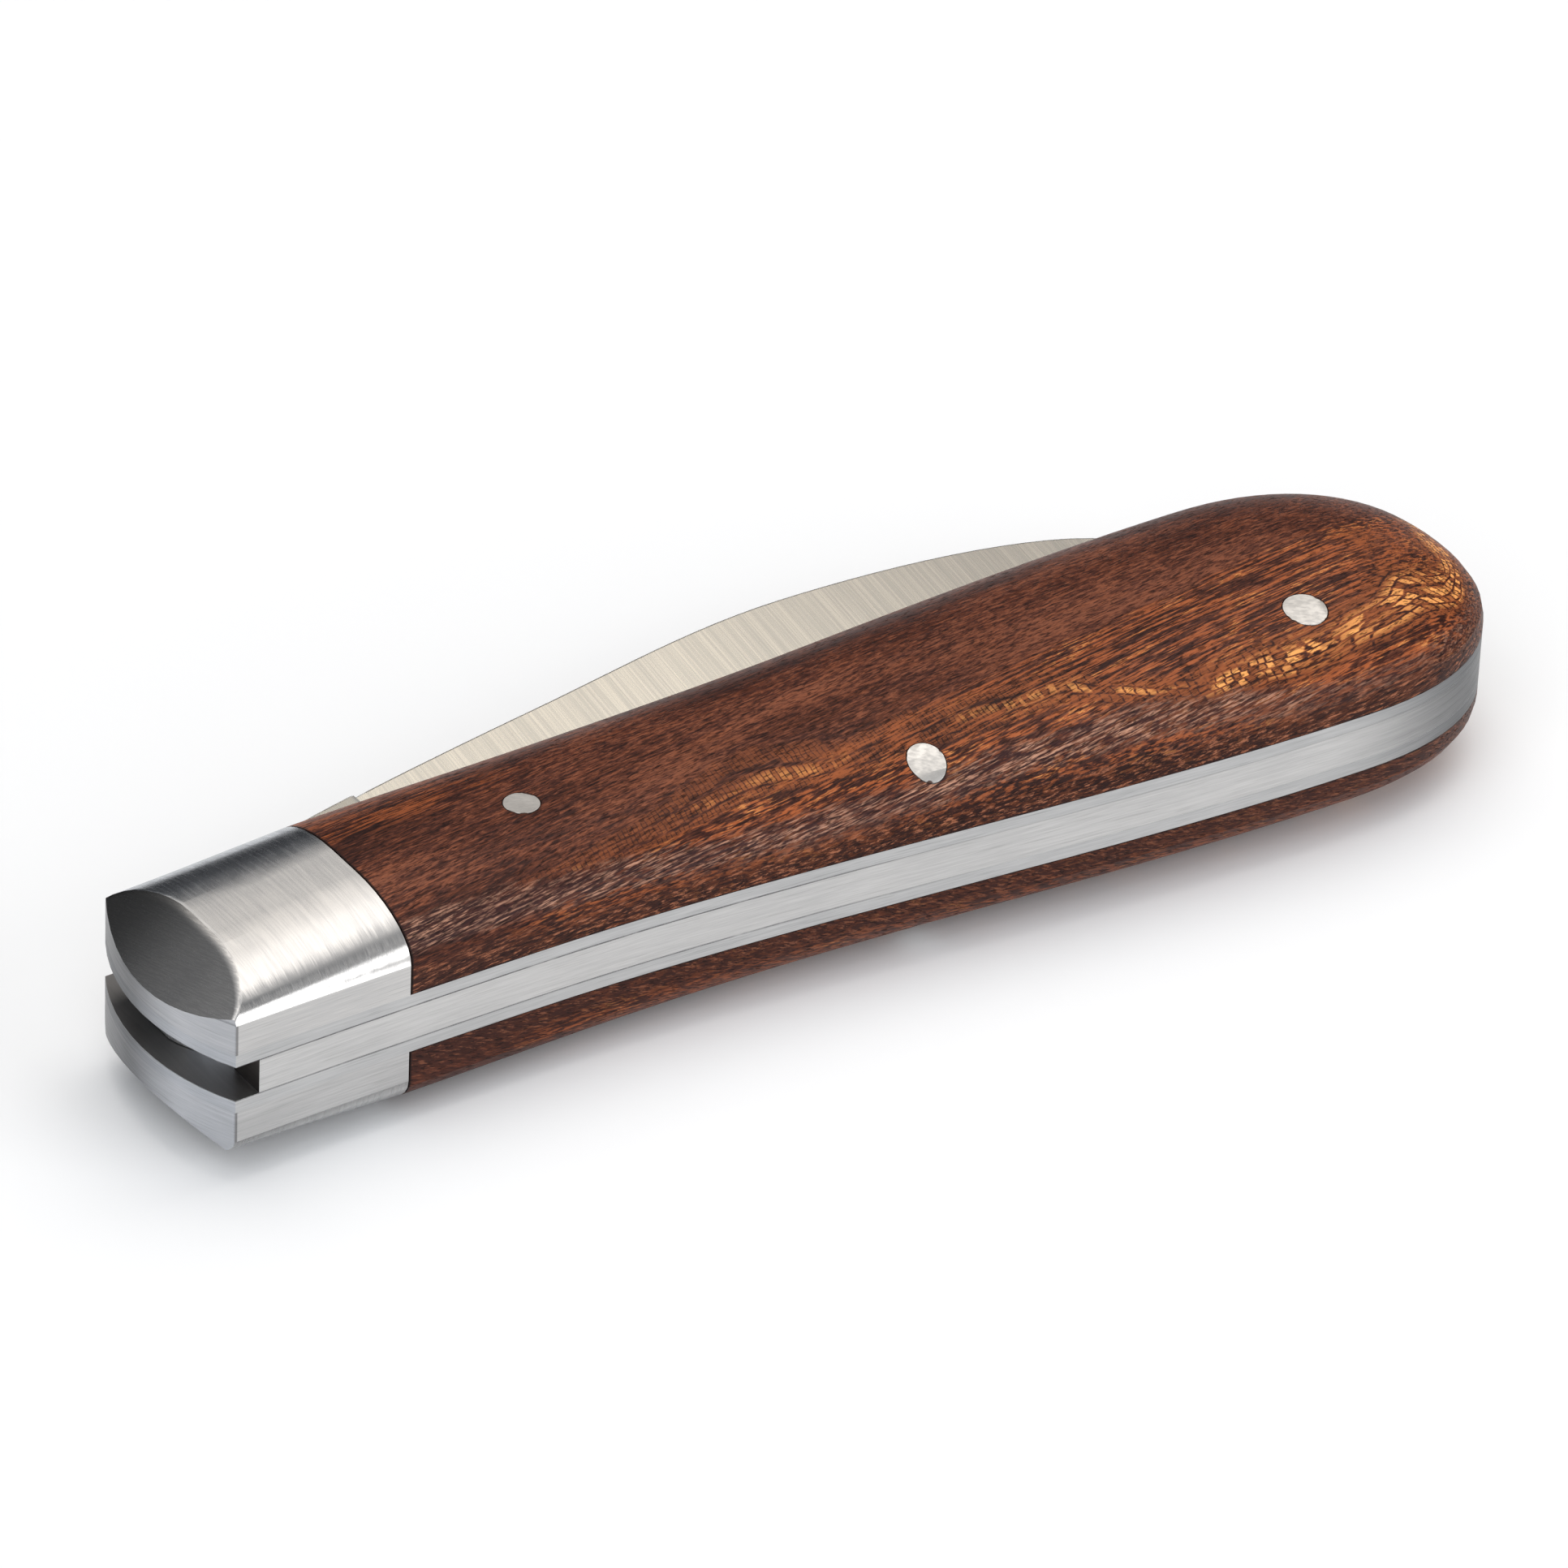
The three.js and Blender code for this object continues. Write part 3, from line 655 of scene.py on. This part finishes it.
def layGrain(wood, side):
    # the fibres sway a little: every pattern after the first reads the swayed place
    turn = woodLook["grainTurn"]
    shift = side["shift"]
    tilt = side["tilt"]

    def grain(kind, turn=turn, shift=shift, tilt=0.0):
        scales, detail, roughness = grainPatterns[kind]
        return wood.noise(wood.stretched(scales, turn, shift, tilt), detail, roughness)

    sway = 2.0 * woodLook["sway"]
    drift = Wire(wood, grain("drift").socket.node.outputs["Color"])
    drift = wood.vectors("SUBTRACT", drift, (0.5, 0.5, 0.5))
    wood.place = wood.vectors("ADD", wood.place, wood.vectors("MULTIPLY", drift, (0.0, sway, sway)))
    wood.fibres = grain("fibres", tilt=tilt)
    wood.hairs = grain("hairs", tilt=tilt)
    wood.clouds = grain("clouds")
    wood.lines = grain("lines")
    wood.pores = grain("pores", shift=(5.0, 3.0, 1.0), tilt=tilt)
    wood.patches = grain("patches")
    wood.wave = grain("wave")
    wood.wobble = grain("wobble", shift=(2.0, 9.0, 4.0))
    wood.strands = grain("strands", woodLook["silkTurn"] * turn, tilt=tilt)
    wood.height = wood.z if side["upper"] else 2 * midHeight - wood.z
    wood.across = wood.y * math.cos(turn) + wood.x * math.sin(turn)


def quietGround(wood, side):
    # short dark and fawn dashes
    tone = 0.62 * wood.fibres + 0.30 * wood.hairs + 0.46 * (wood.clouds - 0.5) + side["tone"]
    return wood.ramp(wood.step(tone, 0.36, 0.65), [
        (0.0, woodLook["deep"]), (0.48, woodLook["brown"]), (1.0, woodLook["fawn"]),
    ])


def orangeLines(wood, colour):
    look = woodLook
    nearSide = wood.step(wood.across, *look["linesAcross"])
    farCorner = wood.step(wood.x, *look["farLinesX"]) * wood.step(wood.y, *look["farLinesY"])
    lined = wood.step(wood.lines, 0.490, 0.565) * wood.step(wood.fibres, 0.32, 0.52, 0.22, 1.0)
    share = look["lineShare"] + look["nearLines"] * nearSide + look["farLines"] * farCorner
    colour = wood.mix(lined * share, colour, look["orange"])
    sparks = lined * nearSide * wood.step(wood.patches, 0.50, 0.64) * wood.step(wood.hairs, 0.48, 0.60)
    colour = wood.mix(look["sparkShare"] * sparks, colour, look["gold"])
    gaps = wood.step(wood.lines, 0.485, 0.42) * nearSide
    return wood.mix(look["gapShare"] * gaps, colour, look["deep"])


# a row of gold cells between dark rungs, with thinner layers of the wood beside it
goldLook = {
    # heights above the floor along the scale, in mm: first place, last place, change between them
    "start": 13.85,
    "changes": ((-22, -8, 0.72), (14, 24, -0.95), (31, 38, 0.40), (42, 47, -1.0)),
    "wave": 0.7 * mm,                       # how far the row strays from that path
    "cellLength": (0.37 * mm, 0.68 * mm),   # narrow cells in front, longer ones near the butt
    "lengthChange": 14 * mm,
    "cellHeight": (0.30 * mm, 0.22 * mm),   # the wood's layers, as the slopes cut through them
    "heightChange": (10 * mm, 22 * mm),
    "bend": (1.0, 0.35), "rowShift": 0.33,  # the rungs and rows wobble by these shares of a cell
    "rungs": {"width": 0.23, "level": 0.04, "darkestCell": 0.25},
    "buttAlong": (18 * mm, 32 * mm),        # the row gets wider towards the butt
    "roundAlong": (30 * mm, 44 * mm),       # and follows its rounding
    "reach": (0.50 * mm, 0.85 * mm), "edge": 0.45 * mm, "core": 0.10 * mm,
    # the row fades in behind the bolster, and out on the far side
    "frontAlong": (-34 * mm, -14 * mm), "farAcross": (-1.0 * mm, -5.0 * mm), "farY": (-0.5 * mm, -4.5 * mm),
    "darkShare": 0.34,
    # the bright middle of the row, whole at the rounding and fainter in front
    "brightReach": (0.42, 0.66), "brightEdge": 0.26 * mm,
    "brightButt": (31 * mm, 39 * mm), "brightAlong": (-16 * mm, 26 * mm), "brightFront": 0.50,
}


def pathHeight(wood, path):
    height = path["start"] * mm
    for first, last, change in path["changes"]:
        height = wood.step(wood.x, first * mm, last * mm, 0.0, change * mm) + height
    return height


def goldCells(wood, fromGold):
    # the level of each cell and rung
    look = goldLook
    narrow, long = look["cellLength"]
    roundButt = wood.step(wood.x, *look["roundAlong"])
    beyond = wood.larger(wood.x - look["lengthChange"], 0.0)
    along = wood.x * (1 / narrow) - beyond * (1 / narrow - 1 / long) + wood.y * roundButt * (1 / long)
    frontRows, buttRows = [1 / size for size in look["cellHeight"]]
    perHeight = wood.step(wood.x, *look["heightChange"], frontRows, buttRows)
    alongBend, rowBend = look["bend"]
    row = fromGold * perHeight + rowBend * wood.wobble + look["rowShift"]
    return wood.bricks(along + alongBend * wood.wobble, row, look["rungs"])


def goldRow(wood, colour):
    look = goldLook
    fromGold = wood.height + look["wave"] * (wood.wave - 0.5) - pathHeight(wood, look)
    cell = goldCells(wood, fromGold)
    towardsButt = wood.step(wood.x, *look["buttAlong"])
    reach = wood.blend(towardsButt, *look["reach"])
    golden = wood.step(wood.larger(abs(fromGold) - look["core"], 0.0) - reach, 0.0, -look["edge"])
    golden = golden * wood.step(wood.across, *look["farAcross"]) * wood.step(wood.x, *look["frontAlong"])
    golden = golden * wood.step(wood.y, *look["farY"])
    broken = wood.step(wood.clouds + 0.5 * wood.patches, 0.62, 0.80, 0.60, 1.0)
    golden = golden * wood.larger(broken, towardsButt)
    colour = wood.mix(golden * look["darkShare"], colour, woodLook["deep"])
    bright = wood.larger(wood.step(wood.patches, 0.44, 0.56), 0.95 * wood.step(wood.x, *look["brightButt"]))
    bright = bright * wood.step(wood.x, *look["brightAlong"], look["brightFront"], 1.0)
    middle = abs(fromGold) - wood.blend(towardsButt, *look["brightReach"]) * reach
    bright = bright * wood.step(middle, 0.0, -look["brightEdge"])
    lit = wood.mix(wood.step(cell, 0.28, 0.74) * bright, woodLook["amber"], woodLook["gold"])
    openCell = wood.step(cell, 0.07, 0.44) * wood.step(wood.fibres, 0.33, 0.50) * (0.64 + 0.36 * bright)
    return wood.mix(golden * openCell, colour, lit)


# partly painted sheen: greyer, silky hairs on the near rounding, drawn on the wood's own strands, with dark
# plum between them; start and changes as in goldLook
sheenStripLook = {
    "start": 13.50,
    "changes": ((-31, -9, -0.78), (0, 14, 0.50), (20, 36, -1.30)),
    "wave": 0.9 * mm,
    "above": (0.75 * mm, 0.15 * mm), "below": (-1.35 * mm, -0.45 * mm),   # the strip's soft edges
    "across": (-8.1 * mm, -12.1 * mm),
    "rearAlong": (14 * mm, 40 * mm), "rearShare": 0.55,
    "plumShare": 0.78,
}


def paintedSheenStrip(wood, colour, side):
    look = sheenStripLook
    fromSilk = wood.height + look["wave"] * (wood.clouds - 0.5) - pathHeight(wood, look)
    strip = wood.step(fromSilk, *look["above"]) * wood.step(fromSilk, *look["below"])
    strip = strip * wood.step(wood.y, *look["across"], 0.0, side["silk"])
    strip = strip * wood.step(wood.x, *look["rearAlong"], 1.0, look["rearShare"])
    colour = wood.mix(look["plumShare"] * strip, colour, woodLook["plum"])
    silky = wood.step(0.78 * wood.strands + 0.22 * wood.hairs, 0.470, 0.645)
    silky = silky * wood.step(wood.patches, 0.34, 0.60, 0.50, 1.0)
    return wood.mix(strip * silky, colour, woodLook["ash"])


def lowestWood(wood, colour, side):
    lowest = wood.step(wood.height, *woodLook["lowest"])
    colour = wood.mix(woodLook["lowestShare"] * lowest, colour, woodLook["deep"])
    hairy = lowest * wood.step(wood.fibres, 0.52, 0.645)
    colour = wood.mix(side["hazelShare"] * hairy, colour, woodLook["hazel"])
    # painted shade: the lower scale is mixed towards brown
    if side["shadedBrownShare"]:
        colour = wood.mix(side["shadedBrownShare"], colour, woodLook["brown"])
    return colour


def darkRims(wood, colour, pinPlaces):
    look = woodLook
    ragged = look["chip"] * (wood.noise(wood.stretched((1.8, 1.8, 1.8)), 3, 0.65) - 0.5)
    flat = wood.node("ShaderNodeCombineXYZ", sockets={0: wood.x, 1: wood.y})
    bolsterRim = [scaleLow.x + width for width in look["bolsterRim"]]
    rim = wood.step(wood.x + ragged, *bolsterRim, 1.0, 0.0)
    for place, radius in pinPlaces:
        away = wood.distance(flat, (place.x, place.y, 0))
        rim = wood.larger(rim, wood.step(away + ragged, radius, radius + look["pinRim"], 1.0, 0.0))
    linerRim = [linerHeight + width for width in look["linerRim"]]
    joint = wood.step(wood.height + look["jointChip"] * ragged, *linerRim, look["rimShare"], 0.0)
    return wood.mix(look["rimShare"] * wood.larger(rim, joint), colour, look["pore"])


def scaleWood(name, pinPlaces):
    wood = Finish(name)
    side = scaleLooks[name]
    layGrain(wood, side)
    colour = orangeLines(wood, quietGround(wood, side))
    colour = goldRow(wood, colour)
    colour = paintedSheenStrip(wood, colour, side)
    colour = lowestWood(wood, colour, side)
    pitted = wood.step(wood.pores, 0.575, 0.65)
    colour = wood.mix(woodLook["poreShare"] * pitted, colour, woodLook["pore"])
    colour = darkRims(wood, colour, pinPlaces)
    roughness = woodLook["roughness"] + 0.14 * wood.fibres + 0.2 * pitted
    relief = woodLook["fibreDepth"] * (0.4 * wood.hairs + 0.6 * wood.fibres)
    relief = relief - woodLook["poreDepth"] * pitted
    wood.drive(colour=colour, roughness=roughness, normal=wood.bump(relief), specular=woodLook["shine"])
    return wood.material


# each node's piece: a merged copy with eased edges and smooth shading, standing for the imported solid

easing = {
    "mergeWithin": 0.0005 * mm,
    "flatWithin": math.radians(0.3),    # faces closer to flat than this become one
    "sharpOver": math.radians(18),      # edges with a larger angle can be eased
    "smoothUnder": math.radians(32),    # and those with a smaller one are shaded smooth
    "facetLength": 4 * mm,              # how far the front facet reaches behind the corner
    "facetWithin": math.radians(16),    # how far its slivers may turn from its slope
    "uprightUnder": 0.05,               # a wall's normal rises less than this
    "linerSlack": 0.02 * mm,
    "wood": 0.05 * mm, "liners": 0.05 * mm, "spring": 0.02 * mm, "blade": 0.28 * mm, "pins": 0.03 * mm,
    # the blade's back edges are eased, but not near its finger nick
    "spineFrom": 1.5 * mm,
    "nickMiddle": -2.6 * mm, "nickHalf": 8 * mm, "nickBelow": 13.4 * mm,
}


def onlySelect(piece):
    bpy.ops.object.select_all(action="DESELECT")
    piece.select_set(True)
    bpy.context.view_layer.objects.active = piece


def crispBolster(mesh, slope):
    # slivers left by the cut are joined into one flat facet, and its rim and the walls' edges stay sharp
    lean = Vector((-math.sin(slope), 0, math.cos(slope)))
    facetEnd = cornerX + easing["facetLength"]

    def onFacet(face):
        normal = Vector((face.normal.x, face.normal.y, abs(face.normal.z)))
        return face.calc_center_median().x < facetEnd and normal.angle(lean) < easing["facetWithin"]

    def onWall(face):
        return abs(face.normal.z) < easing["uprightUnder"]

    bpy.ops.mesh.select_mode(type="FACE")
    bpy.ops.mesh.select_all(action="DESELECT")
    for face in mesh.faces:
        face.select_set(onFacet(face))
    bmesh.update_edit_mesh(bpy.context.active_object.data)
    bpy.ops.mesh.dissolve_faces()
    for edge in mesh.edges:
        if len(edge.link_faces) == 2:
            first, second = edge.link_faces
            if onFacet(first) != onFacet(second) or onWall(first) != onWall(second):
                edge.smooth = False


def easedCopy(node, body, ease, keepSharp, material, segments=2, clamped=True, flatSlope=0):
    onlySelect(frame["nodes"][node])
    bpy.ops.object.duplicate()
    piece = bpy.context.active_object
    piece.name = node + "_dressed"
    piece.data.name = piece.name
    del piece["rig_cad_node"]
    bpy.ops.object.mode_set(mode="EDIT")
    bpy.ops.mesh.select_all(action="SELECT")
    bpy.ops.mesh.remove_doubles(threshold=easing["mergeWithin"])
    bpy.ops.mesh.dissolve_limited(angle_limit=easing["flatWithin"])
    mesh = bmesh.from_edit_mesh(piece.data)
    if flatSlope:
        crispBolster(mesh, flatSlope)
    bpy.ops.mesh.select_mode(type="EDGE")
    bpy.ops.mesh.select_all(action="DESELECT")
    chosen = 0
    for edge in mesh.edges:
        if len(edge.link_faces) == 2 and edge.calc_face_angle() > easing["sharpOver"]:
            middle = (edge.verts[0].co + edge.verts[1].co) / 2
            if not keepSharp(middle):
                edge.select_set(True)
                chosen += 1
    bmesh.update_edit_mesh(piece.data)
    if chosen and ease:
        bpy.ops.mesh.bevel(offset=ease, segments=segments, profile=0.5, clamp_overlap=clamped)
    bpy.ops.object.mode_set(mode="OBJECT")
    bpy.ops.object.shade_smooth_by_angle(angle=easing["smoothUnder"])
    bpy.ops.object.modifier_add(type="WEIGHTED_NORMAL")
    piece.modifiers[-1].keep_sharp = True
    bpy.ops.object.modifier_apply(modifier=piece.modifiers[-1].name)
    piece.data.materials.clear()
    piece.data.materials.append(material)
    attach(piece, body)
    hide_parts(node)
    print(node, "dressed:", chosen, "sharp edges chosen,", len(piece.data.polygons), "faces")


def pinSpot(node):
    low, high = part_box(node)
    return (low + high) / 2, (high.x - low.x) / 2


def onLiner(place):
    # the flat faces where scales, bolsters and liners meet
    fromMiddle = abs(place.z - midHeight)
    return abs(fromMiddle - (linerHeight - midHeight)) < easing["linerSlack"]


def offSpine(place):
    besideNick = abs(place.x - easing["nickMiddle"]) < easing["nickHalf"]
    nearNick = place.z < midHeight and place.y < easing["nickBelow"] and besideNick
    return place.y < easing["spineFrom"] or nearNick


def nowhere(place):
    return False


def dressKnife():
    upperBolster = brushedSteel("upperBolsterSteel", steels["upperBolsterSteel"])
    lowerBolster = brushedSteel("lowerBolsterShadedSteel", steels["lowerBolsterShadedSteel"])
    liner = brushedSteel("linerSteel", steels["linerSteel"])
    spring = brushedSteel("springSteel", steels["springSteel"])
    blade = bladeSteel()
    pins = [pinSpot(node) for node in ("rivet_front_upper", "rivet_middle", "rivet_rear")]
    pin = pinSteel(pins)
    upperWood = scaleWood("upperWood", pins)
    lowerShadedWood = scaleWood("lowerShadedWood", pins)
    slope = bolsterForm["facetAngle"]
    easedCopy("bolster_upper", "handle", 0, onLiner, upperBolster, flatSlope=slope)
    easedCopy("bolster_lower", "handle", 0, onLiner, lowerBolster, flatSlope=slope)
    easedCopy("scale_upper", "handle", easing["wood"], onLiner, upperWood)
    easedCopy("scale_lower", "handle", easing["wood"], onLiner, lowerShadedWood)
    easedCopy("liner_upper", "handle", easing["liners"], onLiner, liner)
    easedCopy("liner_lower", "handle", easing["liners"], onLiner, liner)
    easedCopy("back_spring", "handle", easing["spring"], nowhere, spring)
    easedCopy("blade", "blade", easing["blade"], offSpine, blade, 3, clamped=False)
    for node in ("rivet_front_upper", "rivet_front_lower", "rivet_middle", "rivet_rear", "pivot_pin"):
        easedCopy(node, "handle", easing["pins"], nowhere, pin)


floorLook = {
    "size": 12.0, "pale": (0.945, 0.955, 0.97), "lift": 1.01,   # how much paler its speckles are
    "speckle": 0.02, "roughness": 0.9, "shine": 0.1,
}


def makeFloor():
    look = floorLook
    finish = Finish("paleFloor")
    speckle = finish.noise(finish.stretched((look["speckle"],) * 3), 2, 0.5)
    paler = [min(1, look["lift"] * level) for level in look["pale"]]
    colour = finish.mix(speckle, look["pale"], paler)
    finish.drive(colour=colour, roughness=look["roughness"], specular=look["shine"])
    bpy.ops.mesh.primitive_plane_add(size=look["size"], location=(0, 0, 0))
    floor = bpy.context.active_object
    floor.name = "floor"
    floor.data.materials.append(finish.material)


makeCamera()
makeWorld()
makePanels()
makeFloor()
print("studio ready")
dressKnife()
print("knife dressed")
